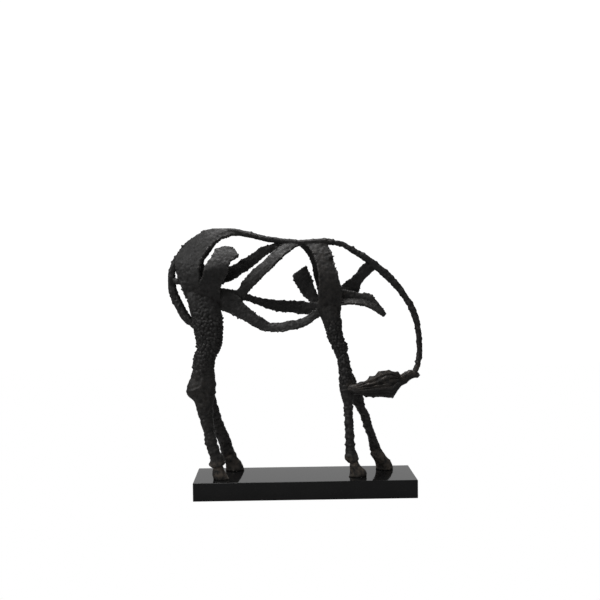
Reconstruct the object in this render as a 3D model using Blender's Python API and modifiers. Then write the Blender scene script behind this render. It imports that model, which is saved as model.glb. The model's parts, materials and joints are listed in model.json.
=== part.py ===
"""Grazing horse of cast iron strips, bands and lumpy rods, standing on a polished stone plinth.

Metres, +Z up. The origin is the middle of the plinth's underside. The horse faces +X and its near side is -Y.
The horse's pose and proportions are shares of its height: a place (x, y, z) in the lists below is in
hundredths of HORSE_HEIGHT, measured from the middle of the plinth at the level of the soles.
"""

import math

import bmesh
import bpy
from mathutils import Vector, noise

# Driving dimensions
HORSE_HEIGHT = 0.413
STRIP_THICKNESS = 0.0044
ROD_DEPTH = 0.0094
PLINTH_LENGTH = 0.365
PLINTH_DEPTH = 0.100
PLINTH_THICKNESS = 0.030
PLINTH_BEVEL = 0.0012
REST_GAP = 0.0003

# Far half of the rump: how far it lies forward of the near one, in hundredths of the horse's height
FAR_LAG = 0.3

# Handwork of the casting: the lists run through the core of each member, and the worked edge stands out of it
EDGE_SWELL = 0.0014
EDGE_WOBBLE = 0.0007
EDGE_WOBBLE_LENGTH = 0.009
EDGE_THINNING = 0.6
LUMP_HEIGHT = 0.0011
LUMP_LENGTH = 0.008
FOLD_SHARE = 0.16

# Fineness of the faceted solids: steps in hundredths of the horse's height, and sides of a ring
STRIP_STEP = 2.0
ROD_STEP = 1.8
ROD_SIDES = 8
LIMB_STEP = 2.0
LIMB_SIDES = 10
HEAD_STEP = 1.9
HEAD_SIDES = 14
BURR_SIDES = 6
BEVEL_SEGMENTS = 2
SMOOTH_ANGLE = math.radians(40.0)

IRON_COLOUR = (0.022, 0.021, 0.021, 1.0)
IRON_ROUGHNESS = 0.55
IRON_METALLIC = 0.6
STONE_COLOUR = (0.012, 0.012, 0.013, 1.0)
STONE_ROUGHNESS = 0.08
STONE_METALLIC = 0.0


def clear_scene():
    """Remove every object that the new scene starts with."""
    for item in list(bpy.data.objects):
        bpy.data.objects.remove(item)


def new_collection(name):
    """Add a collection to the scene."""
    group = bpy.data.collections.new(name)
    bpy.context.scene.collection.children.link(group)
    return group


def move_to(group, item):
    """Keep an object in the given collection only."""
    for old in list(item.users_collection):
        old.objects.unlink(item)
    group.objects.link(item)


def new_material(name, colour, roughness, metallic):
    """Make a plain Principled material."""
    skin = bpy.data.materials.new(name)
    skin.use_nodes = True
    shader = skin.node_tree.nodes["Principled BSDF"]
    shader.inputs["Base Color"].default_value = colour
    shader.inputs["Roughness"].default_value = roughness
    shader.inputs["Metallic"].default_value = metallic
    return skin


def share(value):
    """Turn hundredths of the horse's height into metres."""
    return value * HORSE_HEIGHT / 100.0


def place(point):
    """Turn a place in hundredths of the horse's height into metres."""
    return Vector([share(value) for value in point])


def smooth_run(stations, step):
    """Pass a Catmull-Rom curve through equally long rows of numbers, at steps of about the given length."""
    rows = [stations[0], *stations, stations[-1]]
    run = []
    for before, start, end, after in zip(rows, rows[1:], rows[2:], rows[3:]):
        reach = max(abs(b - a) for a, b in zip(start, end))
        steps = max(1, round(reach / step))
        for i in range(steps):
            t = i / steps
            row = [
                b + 0.5 * t * (c - a + t * (2 * a - 5 * b + 4 * c - d + t * (3 * (b - c) + d - a)))
                for a, b, c, d in zip(before, start, end, after)
            ]
            run.append(row)
    run.append(list(stations[-1]))
    return run


def ripple(point, length, shift=0.0):
    """A smooth value between about -1 and 1 that wanders over the given length."""
    return noise.noise(point / length + Vector((shift, 0.0, 0.0)))


def skin_rings(name, rings):
    """Join rings of as many points each into one closed body."""
    body = bmesh.new()
    loops = [[body.verts.new(point) for point in ring] for ring in rings]
    for lower, upper in zip(loops, loops[1:]):
        for i, vert in enumerate(lower):
            after = (i + 1) % len(lower)
            body.faces.new((vert, lower[after], upper[after], upper[i]))
    body.faces.new(reversed(loops[0]))
    body.faces.new(loops[-1])
    bmesh.ops.recalc_face_normals(body, faces=body.faces)
    if body.calc_volume(signed=True) < 0.0:
        bmesh.ops.reverse_faces(body, faces=body.faces)
    mesh = bpy.data.meshes.new(name)
    body.to_mesh(mesh)
    body.free()
    return bpy.data.objects.new(name, mesh)


def strip(name, pairs, shift):
    """Hammered flat strip whose two edges pass through pairs of places."""
    run = smooth_run([a + b for a, b in pairs], STRIP_STEP)
    edges = [(place(row[:3]), place(row[3:])) for row in run]
    middles = [(a + b) / 2 for a, b in edges]
    rings = []
    for i, (a, b) in enumerate(edges):
        along = middles[min(i + 1, len(middles) - 1)] - middles[max(i - 1, 0)]
        across = (b - a).normalized()
        out = across.cross(along).normalized() * STRIP_THICKNESS / 2
        a = a - across * (EDGE_SWELL + EDGE_WOBBLE * ripple(a, EDGE_WOBBLE_LENGTH, shift))
        b = b + across * (EDGE_SWELL + EDGE_WOBBLE * ripple(b, EDGE_WOBBLE_LENGTH, shift))
        middle = (a + b) / 2
        edge = out * EDGE_THINNING
        rings.append((a - edge, a + edge, middle + out, b + edge, b - edge, middle - out))
    return skin_rings(name, rings)


def rod(name, path):
    """Lumpy rod along (x, y, z, half height)."""
    run = smooth_run(path, ROD_STEP)
    centres = [place(row[:3]) for row in run]
    rings = []
    for i, centre in enumerate(centres):
        half_height = share(run[i][3]) + EDGE_SWELL
        along = centres[min(i + 1, len(centres) - 1)] - centres[max(i - 1, 0)]
        up = along.cross(Vector((0.0, -1.0, 0.0))).normalized()
        far = up.cross(along).normalized()
        ring = []
        for side in range(ROD_SIDES):
            turn = 2 * math.pi * (side + 0.5) / ROD_SIDES
            reach = up * math.cos(turn) * half_height + far * math.sin(turn) * ROD_DEPTH / 2
            swell = 1 + EDGE_WOBBLE * ripple(centre + reach, EDGE_WOBBLE_LENGTH) / reach.length
            ring.append(centre + reach * swell)
        rings.append(ring)
    return skin_rings(name, rings)


def limb(name, stations):
    """Leg from level ovals (z, x, half length, y, half depth), covered in lumps, flat at both ends."""
    rings = []
    for z, x, half_length, y, half_depth in smooth_run(stations, LIMB_STEP):
        centre = place((x, y, z))
        ring = []
        for side in range(LIMB_SIDES):
            turn = 2 * math.pi * (side + 0.5) / LIMB_SIDES
            reach = Vector((
                (share(half_length) + EDGE_SWELL) * math.cos(turn),
                (share(half_depth) + EDGE_SWELL / 2) * math.sin(turn),
                0.0,
            ))
            lump = LUMP_HEIGHT * ripple(centre + reach, LUMP_LENGTH)
            ring.append(centre + reach * (1 + lump / reach.length))
        rings.append(ring)
    return skin_rings(name, rings)


def burr(name, root, tip, width):
    """Small spike left by the casting, from a root place to a tip place."""
    start = place(root)
    axis = place(tip) - start
    bpy.ops.mesh.primitive_cone_add(vertices=BURR_SIDES, radius1=share(width) / 2, depth=axis.length)
    cone = bpy.context.object
    cone.name = name
    cone.location = start + axis / 2
    cone.rotation_euler = axis.to_track_quat("Z", "Y").to_euler()
    return cone


def rump_band(side):
    """Wide band from the spine over the rump and down into the thigh, on one side: outer edge, inner edge.

    Each row is the outer edge of the near band, its inner edge and the inner edge of the far band.
    """
    rows = [
        ((-25.2, 0.0, 98.6), (-24.8, -0.5, 97.4), (-24.8, 0.5, 97.4)),
        ((-29.2, -0.1, 99.3), (-28.4, -1.2, 97.3), (-28.5, 1.2, 97.3)),
        ((-33.6, -0.2, 99.3), (-32.4, -2.2, 96.2), (-32.0, 2.2, 96.5)),
        ((-38.0, -0.2, 98.8), (-35.9, -3.4, 93.6), (-35.1, 3.1, 94.4)),
        ((-42.0, -0.2, 96.9), (-38.3, -4.4, 91.1), (-37.3, 4.4, 91.9)),
        ((-46.1, -0.2, 94.1), (-40.2, -5.1, 87.9), (-39.5, 5.1, 88.9)),
        ((-49.2, -0.4, 90.3), (-41.2, -5.8, 84.9), (-41.0, 5.6, 86.0)),
        ((-50.8, -1.2, 86.1), (-41.4, -6.1, 81.2), (-40.3, 5.8, 82.8)),
        ((-49.4, -2.4, 79.8), (-41.4, -5.9, 77.4), (-42.4, 5.8, 79.2)),
        ((-47.9, -3.4, 76.1), (-39.6, -4.8, 72.9), (-41.0, 5.3, 73.6)),
        ((-46.4, -3.6, 72.1), (-38.2, -3.6, 69.0), (-38.4, 4.4, 67.7)),
    ]
    if side == "near":
        return [(outer, near) for outer, near, far in rows]
    return [((x + FAR_LAG, -y, z), far) for (x, y, z), near, far in rows]


def hip_plate():
    """Near plate of the hip, leaning inward above its fold up to the free end: left edge, right edge."""
    return [
        ((-40.1, -3.9, 66.5), (-33.6, -3.9, 67.8)),
        ((-39.9, -4.9, 72.9), (-33.4, -4.9, 73.4)),
        ((-40.8, -5.7, 76.6), (-33.8, -5.8, 76.2)),
        ((-40.6, -6.2, 78.4), (-32.5, -6.5, 78.4)),
        ((-39.2, -7.0, 80.4), (-31.3, -7.4, 80.5)),
        ((-38.9, -8.0, 82.8), (-30.3, -8.4, 82.5)),
        ((-38.0, -7.3, 84.9), (-29.9, -7.8, 84.8)),
        ((-36.4, -6.3, 87.0), (-29.1, -7.1, 86.5)),
        ((-35.2, -5.1, 89.2), (-26.0, -5.9, 88.8)),
        ((-34.4, -3.8, 91.1), (-27.1, -4.9, 90.3)),
        ((-31.9, -3.1, 92.1), (-29.0, -3.7, 92.0)),
    ]


def far_strut():
    """Far strut from the hip up to the spine: upper edge, lower edge."""
    return [
        ((-43.6, 4.4, 75.1), (-37.2, 4.4, 68.5)),
        ((-37.8, 4.8, 82.4), (-33.7, 4.4, 77.0)),
        ((-32.5, 4.8, 84.1), (-30.0, 4.1, 78.8)),
        ((-28.6, 4.6, 84.6), (-26.6, 3.9, 80.6)),
        ((-24.8, 4.1, 86.8), (-22.7, 3.4, 83.3)),
        ((-20.4, 3.1, 89.4), (-17.8, 2.4, 86.8)),
        ((-16.8, 1.9, 91.9), (-14.5, 1.5, 89.5)),
        ((-12.2, 0.9, 93.2), (-9.8, 0.7, 91.6)),
        ((-8.6, 0.2, 94.2), (-6.6, 0.2, 93.2)),
    ]


def near_strut():
    """Near strut from the rib joint up to the spine: upper edge, lower edge."""
    return [
        ((-28.6, -2.6, 72.7), (-24.8, -2.9, 70.3)),
        ((-25.6, -3.4, 75.2), (-22.9, -3.9, 73.7)),
        ((-24.1, -3.9, 78.0), (-20.8, -4.8, 76.2)),
        ((-19.7, -4.1, 82.8), (-16.7, -5.6, 80.3)),
        ((-15.3, -3.7, 86.4), (-12.1, -5.6, 84.6)),
        ((-12.0, -2.4, 89.7), (-8.0, -4.4, 88.8)),
        ((-8.8, -1.0, 92.7), (-4.6, -2.2, 91.3)),
        ((-5.2, -0.2, 94.0), (-1.2, -0.5, 93.4)),
    ]


def rib():
    """Strip from the near thigh through the rib joint to the far side of the chest: top edge, bottom edge."""
    return [
        ((-36.4, -3.2, 75.2), (-36.5, -3.2, 70.0)),
        ((-31.6, -3.6, 75.3), (-31.7, -3.6, 70.8)),
        ((-26.9, -3.1, 74.5), (-26.5, -3.4, 71.3)),
        ((-24.1, -1.9, 73.5), (-24.0, -2.2, 71.4)),
        ((-21.5, -0.7, 72.5), (-21.3, -1.0, 70.5)),
        ((-16.7, 1.0, 71.3), (-16.7, 0.7, 68.6)),
        ((-11.9, 2.4, 70.6), (-11.9, 2.2, 66.7)),
        ((-6.2, 3.4, 70.0), (-6.2, 3.1, 66.1)),
        ((-0.9, 3.4, 69.8), (-0.9, 3.1, 65.3)),
        ((5.2, 2.2, 69.2), (5.2, 2.2, 65.1)),
        ((9.4, 0.8, 68.6), (9.4, 0.8, 65.7)),
    ]


def belly_strip():
    """Near strip hung under the belly, kinked near its middle: top edge, bottom edge."""
    return [
        ((-34.8, -3.4, 75.2), (-36.1, -3.9, 70.0)),
        ((-30.1, -3.9, 74.3), (-32.5, -4.4, 67.6)),
        ((-26.1, -4.1, 72.3), (-28.9, -4.8, 66.1)),
        ((-23.8, -4.8, 69.4), (-26.1, -5.3, 64.4)),
        ((-20.8, -5.6, 66.6), (-22.7, -6.3, 62.9)),
        ((-17.9, -6.3, 64.4), (-19.8, -6.8, 61.1)),
        ((-15.1, -6.5, 62.7), (-16.6, -7.6, 59.4)),
        ((-13.3, -6.4, 61.7), (-13.1, -7.9, 58.9)),
        ((-9.5, -6.3, 61.8), (-9.1, -7.9, 58.9)),
        ((-5.5, -5.7, 62.4), (-4.8, -7.3, 59.7)),
        ((-1.9, -4.6, 62.8), (-0.7, -5.9, 60.4)),
        ((1.3, -3.6, 64.1), (2.9, -4.6, 62.3)),
        ((5.6, -2.9, 67.2), (7.4, -3.1, 65.3)),
    ]


def near_shoulder():
    """Near shoulder band from the withers down to the chest: left edge, right edge."""
    return [
        ((0.1, 0.0, 94.3), (9.8, 0.2, 94.8)),
        ((2.0, -1.3, 92.4), (9.9, -1.1, 92.0)),
        ((4.1, -2.9, 89.8), (11.3, -2.7, 88.9)),
        ((5.4, -4.6, 86.3), (11.9, -4.3, 85.2)),
        ((6.1, -5.9, 82.4), (13.1, -5.6, 81.3)),
        ((6.5, -6.5, 78.4), (13.9, -6.1, 77.7)),
        ((6.5, -6.3, 74.4), (14.9, -5.9, 74.4)),
        ((6.3, -5.3, 70.1), (14.7, -5.1, 70.4)),
        ((6.7, -4.3, 66.4), (14.4, -4.2, 66.4)),
    ]


def far_shoulder():
    """Far shoulder band, set a little back from the near one: left edge, right edge."""
    return [
        ((-1.5, 0.2, 93.9), (7.7, 0.2, 94.7)),
        ((-0.3, 1.9, 92.2), (8.6, 1.7, 91.7)),
        ((2.1, 3.6, 89.3), (9.5, 3.4, 88.5)),
        ((3.8, 4.8, 86.1), (10.4, 4.6, 84.8)),
        ((4.5, 5.6, 82.3), (11.6, 5.3, 81.1)),
        ((5.4, 5.3, 78.3), (12.8, 5.3, 77.4)),
        ((6.5, 4.6, 74.2), (14.0, 4.6, 73.7)),
        ((6.7, 3.6, 69.7), (13.9, 3.6, 69.7)),
    ]


def leaf():
    """Far leaf that rises from the chest into the barrel and ends free: left edge, right edge."""
    return [
        ((4.8, 2.7, 68.1), (8.9, 2.7, 69.8)),
        ((2.7, 3.6, 70.6), (5.5, 3.4, 72.9)),
        ((0.2, 4.4, 72.9), (4.4, 3.9, 75.7)),
        ((-1.8, 5.1, 76.0), (3.4, 4.4, 78.8)),
        ((-3.4, 5.6, 78.6), (2.4, 4.8, 81.5)),
        ((-3.7, 5.8, 81.2), (1.1, 5.1, 84.4)),
    ]


def neck_strut():
    """Strut from the chest up to the neck: upper edge, lower edge."""
    return [
        ((10.9, 1.5, 72.2), (19.8, 1.0, 69.3)),
        ((15.4, 1.5, 76.0), (22.5, 0.7, 74.1)),
        ((18.8, 1.2, 78.6), (22.7, 0.7, 76.8)),
        ((21.7, 1.0, 81.0), (25.2, 0.5, 79.6)),
        ((23.1, 0.7, 83.4), (26.7, 0.2, 81.2)),
        ((26.1, 0.0, 85.8), (29.7, 0.0, 83.6)),
    ]


def chest_flap(half):
    """One half of the near flap, a ledge folded out of an upright wall and free at its tip: fold, free edge.

    Each row is the fold, the ledge's near edge and the wall's top edge.
    """
    rows = [
        ((12.8, -2.2, 70.2), (12.6, -4.4, 68.8), (12.4, -1.8, 75.2)),
        ((18.6, -3.0, 70.8), (18.3, -5.6, 69.5), (18.0, -2.9, 74.2)),
        ((22.6, -3.4, 70.6), (22.2, -6.1, 69.3), (22.4, -3.3, 72.9)),
        ((24.9, -3.8, 70.2), (24.5, -6.5, 68.7), (25.0, -3.6, 73.0)),
        ((26.8, -4.2, 69.7), (26.6, -6.7, 67.6), (27.1, -4.1, 72.4)),
        ((28.9, -4.7, 68.7), (28.6, -6.7, 66.6), (28.8, -4.6, 70.2)),
        ((30.5, -5.1, 67.0), (30.2, -6.5, 65.7), (30.5, -5.0, 67.8)),
        ((32.1, -5.4, 64.8), (31.8, -5.8, 64.4), (32.2, -5.2, 65.2)),
    ]
    return [(fold, ledge if half == "ledge" else wall) for fold, ledge, wall in rows]


def head():
    """Leaf-shaped head from the poll to the muzzle, with folds that run along it.

    Each row is (x, z) of the forehead line, (x, z) of the jaw line, y and half depth.
    """
    rows = [
        (46.3, 40.2, 46.2, 39.4, 0.0, 0.7),
        (43.5, 41.3, 43.3, 38.7, -0.2, 1.1),
        (41.2, 40.6, 41.4, 37.1, -0.7, 1.5),
        (38.8, 39.7, 38.9, 36.0, -1.5, 1.7),
        (37.1, 40.6, 37.6, 34.5, -2.4, 2.2),
        (34.5, 41.6, 35.4, 31.6, -3.4, 2.7),
        (31.5, 41.3, 32.5, 32.0, -4.4, 2.7),
        (28.2, 40.2, 28.8, 32.4, -5.3, 2.4),
        (24.9, 38.6, 25.3, 32.5, -6.1, 2.1),
        (22.0, 37.3, 22.8, 33.3, -6.8, 1.7),
        (19.2, 36.6, 19.6, 33.8, -6.9, 1.4),
        (17.0, 36.2, 17.2, 34.1, -6.0, 1.1),
        (15.6, 35.6, 15.6, 34.5, -4.9, 0.6),
    ]
    rings = []
    for x_top, z_top, x_jaw, z_jaw, y, half_depth in smooth_run(rows, HEAD_STEP):
        top = place((x_top, y, z_top))
        jaw = place((x_jaw, y, z_jaw))
        middle = (top + jaw) / 2
        up = (top - jaw) / 2
        up += up.normalized() * EDGE_SWELL
        ring = []
        for side in range(HEAD_SIDES):
            turn = 2 * math.pi * side / HEAD_SIDES
            fold = 1 - FOLD_SHARE * (side % 2) * math.sin(turn) ** 2
            depth = Vector((0.0, share(half_depth) * math.sin(turn), 0.0))
            ring.append(middle + up * math.cos(turn) + depth * fold)
        rings.append(ring)
    return skin_rings("head", rings)


def spine():
    """Thin rod along the back."""
    return [
        (-30.0, 0.0, 98.9, 0.65),
        (-25.2, 0.0, 98.0, 0.75),
        (-19.6, 0.0, 96.7, 0.65),
        (-13.2, 0.0, 95.2, 0.7),
        (-7.6, 0.0, 94.4, 0.9),
        (-1.9, 0.0, 93.7, 0.9),
        (3.7, 0.0, 94.0, 0.95),
        (9.3, 0.0, 94.4, 0.9),
    ]


def neck():
    """Rod that arches from the withers down to the poll."""
    return [
        (6.1, 0.0, 94.3, 0.9),
        (10.6, 0.0, 94.2, 0.9),
        (13.0, 0.0, 93.8, 0.65),
        (15.9, 0.0, 93.1, 0.6),
        (19.1, 0.0, 91.3, 0.7),
        (23.0, 0.0, 88.8, 0.9),
        (26.4, 0.0, 86.7, 1.0),
        (29.5, 0.0, 84.1, 1.2),
        (32.8, 0.0, 81.5, 1.2),
        (35.4, 0.0, 79.0, 1.25),
        (38.4, 0.0, 75.5, 1.0),
        (40.3, 0.0, 73.0, 0.95),
        (42.3, 0.0, 69.9, 0.85),
        (44.2, 0.0, 66.6, 0.95),
        (45.7, 0.0, 62.1, 0.8),
        (46.5, 0.0, 58.1, 0.75),
        (46.9, 0.0, 54.0, 0.8),
        (47.0, 0.0, 49.1, 0.8),
        (46.6, 0.0, 45.9, 0.7),
        (45.7, 0.0, 42.8, 0.55),
        (44.8, 0.0, 40.6, 0.6),
    ]


def tail():
    """Rod that leaves the rump, bows outward and runs into the back of the near thigh."""
    return [
        (-48.9, 0.0, 89.1, 1.05),
        (-51.1, 0.0, 85.6, 1.4),
        (-52.4, 0.0, 82.9, 0.8),
        (-52.9, 0.0, 80.5, 0.9),
        (-52.9, 0.0, 77.7, 1.1),
        (-52.4, 0.0, 74.6, 1.1),
        (-51.1, -0.2, 71.4, 1.3),
        (-49.6, -0.5, 68.3, 1.2),
        (-48.0, -1.0, 65.5, 1.2),
        (-46.2, -1.5, 63.2, 1.1),
        (-43.9, -1.9, 61.7, 1.1),
        (-41.5, -2.4, 60.0, 1.3),
    ]


def tail_bridge():
    """Web of metal that ties the tail to the edge of the rump: top edge, bottom edge."""
    return [
        ((-48.2, -2.6, 79.6), (-48.0, -2.7, 78.0)),
        ((-50.4, -1.4, 79.2), (-50.4, -1.5, 78.2)),
        ((-52.8, 0.0, 79.8), (-52.8, 0.0, 77.8)),
    ]


def near_hind_leg():
    """Near hind leg from inside the hip to the sole."""
    return [
        (76.5, -42.1, 3.2, -3.4, 0.6),
        (73.3, -41.1, 4.9, -3.8, 1.4),
        (69.3, -39.7, 5.7, -4.2, 2.1),
        (64.1, -38.4, 5.8, -4.4, 2.8),
        (58.9, -37.9, 5.4, -4.4, 3.0),
        (54.2, -37.7, 4.7, -4.6, 2.9),
        (51.0, -38.2, 4.2, -4.6, 2.8),
        (48.6, -39.5, 3.9, -4.7, 2.7),
        (44.2, -40.0, 3.9, -4.8, 2.5),
        (40.3, -40.2, 4.4, -5.1, 2.5),
        (37.1, -40.9, 5.4, -5.3, 2.7),
        (33.8, -41.1, 5.2, -5.4, 2.5),
        (31.4, -40.1, 3.5, -5.6, 2.3),
        (27.0, -39.5, 2.7, -5.7, 2.1),
        (22.8, -38.9, 2.3, -5.8, 1.9),
        (18.4, -38.0, 1.8, -5.9, 1.8),
        (14.4, -37.2, 2.0, -6.1, 1.8),
        (10.8, -36.1, 2.0, -6.1, 1.8),
        (9.2, -35.3, 2.3, -6.1, 1.9),
        (7.6, -35.0, 2.4, -6.1, 2.1),
        (5.6, -35.1, 2.5, -6.1, 2.1),
        (4.7, -34.9, 2.2, -6.1, 1.9),
        (3.6, -34.6, 2.0, -6.1, 1.8),
        (1.8, -34.2, 2.6, -6.1, 2.2),
        (0.0, -33.4, 2.8, -6.1, 2.3),
    ]


def far_hind_leg():
    """Far hind leg, a stride ahead of the near one."""
    return [
        (76.0, -41.4, 3.4, 3.6, 0.6),
        (71.0, -40.6, 5.1, 4.1, 1.7),
        (63.6, -39.2, 5.0, 4.6, 2.7),
        (58.2, -38.5, 4.6, 4.8, 2.7),
        (53.3, -38.4, 3.9, 5.1, 2.7),
        (49.2, -39.3, 3.1, 5.3, 2.5),
        (43.0, -40.1, 2.9, 5.6, 2.4),
        (37.2, -40.3, 3.9, 5.9, 2.4),
        (33.8, -40.6, 3.9, 6.2, 2.4),
        (30.5, -39.8, 3.1, 6.3, 2.2),
        (26.3, -38.3, 2.8, 6.5, 1.9),
        (21.6, -36.8, 2.5, 6.8, 1.8),
        (17.0, -35.1, 2.7, 7.0, 1.8),
        (14.9, -33.9, 2.4, 7.1, 1.8),
        (12.3, -32.9, 2.2, 7.3, 1.8),
        (8.9, -32.0, 2.2, 7.5, 1.8),
        (6.8, -31.4, 2.6, 7.7, 1.9),
        (5.1, -30.5, 2.4, 7.7, 1.9),
        (3.3, -29.5, 2.8, 8.0, 2.1),
        (1.6, -29.0, 3.2, 8.0, 2.3),
        (0.0, -28.7, 3.4, 8.0, 2.4),
    ]


def near_foreleg():
    """Near foreleg, whose top makes the near half of the chest."""
    return [
        (74.5, 10.8, 2.8, -2.6, 0.6),
        (71.5, 10.4, 4.0, -2.8, 1.6),
        (67.5, 10.1, 4.5, -2.9, 2.8),
        (63.9, 10.9, 3.8, -3.0, 3.0),
        (59.9, 12.0, 3.1, -3.3, 2.9),
        (55.9, 12.6, 2.9, -3.5, 2.5),
        (52.7, 14.0, 2.8, -3.8, 2.4),
        (49.9, 14.8, 2.2, -3.9, 2.3),
        (45.1, 16.0, 2.0, -4.1, 2.3),
        (39.5, 16.6, 2.3, -4.4, 2.3),
        (34.7, 16.9, 2.5, -4.5, 2.2),
        (29.9, 17.4, 1.6, -4.6, 1.9),
        (25.8, 17.5, 1.3, -4.6, 1.8),
        (22.2, 17.7, 1.3, -4.6, 1.8),
        (17.4, 17.9, 1.3, -4.7, 1.8),
        (12.5, 18.2, 1.4, -4.7, 1.8),
        (10.9, 18.2, 1.5, -4.7, 1.8),
        (8.9, 18.4, 1.9, -4.8, 2.1),
        (6.9, 18.9, 2.4, -4.8, 2.1),
        (5.1, 19.5, 1.7, -4.8, 1.7),
        (3.7, 20.3, 1.9, -4.8, 1.8),
        (2.0, 21.2, 2.9, -4.8, 2.1),
        (1.0, 21.4, 3.1, -4.8, 2.2),
        (0.0, 21.1, 3.0, -4.8, 2.2),
    ]


def far_foreleg():
    """Far foreleg, a stride ahead, whose top makes the far half of the chest."""
    return [
        (74.0, 11.0, 2.8, 2.4, 0.6),
        (70.5, 10.5, 3.8, 2.5, 1.8),
        (65.7, 10.6, 3.8, 2.4, 2.8),
        (61.6, 11.6, 3.3, 2.5, 2.7),
        (57.4, 12.6, 2.8, 2.8, 2.5),
        (53.3, 13.8, 2.5, 3.0, 2.4),
        (49.2, 15.3, 2.1, 3.4, 2.3),
        (45.0, 16.5, 1.9, 3.8, 2.2),
        (40.8, 17.5, 2.1, 4.1, 2.2),
        (36.6, 19.2, 2.2, 4.5, 2.1),
        (32.8, 21.0, 2.4, 4.7, 1.9),
        (29.9, 21.9, 2.5, 4.8, 1.8),
        (28.0, 22.4, 2.2, 5.0, 1.8),
        (26.1, 23.3, 1.7, 5.1, 1.7),
        (22.7, 25.1, 1.5, 5.3, 1.7),
        (17.7, 26.7, 1.4, 5.6, 1.7),
        (13.4, 28.2, 1.5, 5.8, 1.7),
        (10.1, 29.1, 1.7, 5.9, 1.8),
        (7.5, 29.9, 2.2, 6.1, 1.8),
        (5.4, 31.0, 2.6, 6.2, 1.9),
        (3.2, 32.5, 2.8, 6.3, 2.1),
        (1.3, 33.3, 3.1, 6.3, 2.2),
        (0.0, 33.4, 3.1, 6.3, 2.3),
    ]


def burrs():
    """Spikes of the casting that show in the outline."""
    return [
        burr("burr_knee", (16.5, -4.2, 42.4), (19.4, -4.4, 43.1), 2.6),
        burr("burr_shoulder_top", (10.4, -3.8, 88.0), (12.8, -3.9, 88.3), 1.8),
        burr("burr_shoulder_low", (11.2, -4.8, 83.4), (13.4, -4.9, 83.6), 1.6),
    ]


def unite(name, bodies, helpers):
    """Join overlapping bodies into one casting and remove them."""
    core, *others = bodies
    move_to(bpy.context.scene.collection, core)
    for body in others:
        move_to(helpers, body)
    join = core.modifiers.new("join", "BOOLEAN")
    join.operation = "UNION"
    join.solver = "EXACT"
    join.operand_type = "COLLECTION"
    join.collection = helpers
    bpy.context.view_layer.update()
    seen = core.evaluated_get(bpy.context.evaluated_depsgraph_get())
    mesh = bpy.data.meshes.new_from_object(seen)
    for body in bodies:
        bpy.data.objects.remove(body)
    mesh.name = name
    return bpy.data.objects.new(name, mesh)


def build_horse(parts, helpers):
    """Shape every strip, rod and limb, and join them into one casting that stands above the plinth."""
    strips = {
        "near_rump": rump_band("near"),
        "far_rump": rump_band("far"),
        "hip_plate": hip_plate(),
        "far_strut": far_strut(),
        "near_strut": near_strut(),
        "rib": rib(),
        "belly_strip": belly_strip(),
        "near_shoulder": near_shoulder(),
        "far_shoulder": far_shoulder(),
        "leaf": leaf(),
        "neck_strut": neck_strut(),
        "flap_ledge": chest_flap("ledge"),
        "flap_wall": chest_flap("wall"),
        "tail_bridge": tail_bridge(),
    }
    rods = {"spine": spine(), "neck": neck(), "tail": tail()}
    limbs = {
        "near_hind": near_hind_leg(),
        "far_hind": far_hind_leg(),
        "near_fore": near_foreleg(),
        "far_fore": far_foreleg(),
    }
    bodies = [limb(name, stations) for name, stations in limbs.items()]
    bodies += [rod(name, path) for name, path in rods.items()]
    bodies += [strip(name, pairs, float(i)) for i, (name, pairs) in enumerate(strips.items())]
    bodies += [head()]
    bodies += burrs()
    horse = unite("horse", bodies, helpers)
    horse.location.z = PLINTH_THICKNESS + REST_GAP
    horse.data.materials.clear()
    horse.data.materials.append(new_material("cast iron", IRON_COLOUR, IRON_ROUGHNESS, IRON_METALLIC))
    horse.data.shade_smooth()
    horse.data.set_sharp_from_angle(angle=SMOOTH_ANGLE)
    move_to(parts, horse)
    return horse


def build_plinth(parts):
    """Polished slab with its edges just broken."""
    bpy.ops.mesh.primitive_cube_add(size=1.0, location=(0.0, 0.0, PLINTH_THICKNESS / 2))
    plinth = bpy.context.object
    plinth.name = "plinth"
    plinth.scale = (PLINTH_LENGTH, PLINTH_DEPTH, PLINTH_THICKNESS)
    bpy.ops.object.transform_apply(location=False, rotation=False, scale=True)
    edges = plinth.modifiers.new("broken edges", "BEVEL")
    edges.width = PLINTH_BEVEL
    edges.segments = BEVEL_SEGMENTS
    stone = new_material("polished black stone", STONE_COLOUR, STONE_ROUGHNESS, STONE_METALLIC)
    plinth.data.materials.append(stone)
    move_to(parts, plinth)
    return plinth


def main():
    clear_scene()
    parts = new_collection("iron horse statue")
    helpers = new_collection("bodies to join")
    build_horse(parts, helpers)
    build_plinth(parts)
    bpy.data.collections.remove(helpers)


main()
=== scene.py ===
"""Looks of the iron horse statue: the hand-worked casting, its polished stone plinth and a pale studio.

Metres, +Z up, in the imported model's frame: the origin is the middle of the plinth's underside, the horse
faces +X and its near side is -Y. Places on the horse are in hundredths of its height, measured from the
middle of the plinth at the level of the soles, as in the part's source.
"""

import json
import logging
import math
import sys
from dataclasses import dataclass, field, replace
from enum import Enum

import bpy
import numpy as np
from mathutils import Matrix, Vector, noise

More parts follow.
